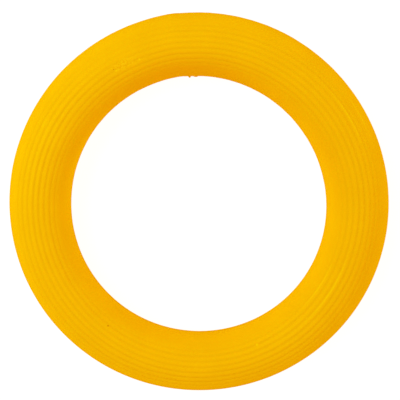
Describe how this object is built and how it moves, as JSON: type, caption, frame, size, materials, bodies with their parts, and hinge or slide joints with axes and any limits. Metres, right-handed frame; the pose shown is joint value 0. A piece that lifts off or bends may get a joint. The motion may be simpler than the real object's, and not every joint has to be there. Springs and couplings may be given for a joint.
{
  "type": "buoyant throwing ring",
  "caption": "Round ribbed rubber throwing ring for pools and decks: two moulded half-skins bonded over a floating foam core, with an open centre to grip or drop over a peg.",
  "frame": {"origin": "centre of the ring, on the parting plane between the two skins", "axes": "+Z along the ring's axis towards the upper skin; +X and +Y lie in the parting plane, with the hidden splice of the core just past +Y"},
  "size_m": [0.18, 0.18, 0.029],
  "materials": {
    "skin_rubber": "satin",
    "tie_gum": "matte",
    "core_foam": "matte",
    "wrap_tape": "matte"
  },
  "bodies": {
    "root": {"upper_skin": "skin_rubber", "lower_skin": "skin_rubber", "outer_tie_strip": "tie_gum", "inner_tie_strip": "tie_gum", "foam_core": "core_foam", "core_dowel": "core_foam", "core_wrap": "wrap_tape"}
  },
  "joints": []
}
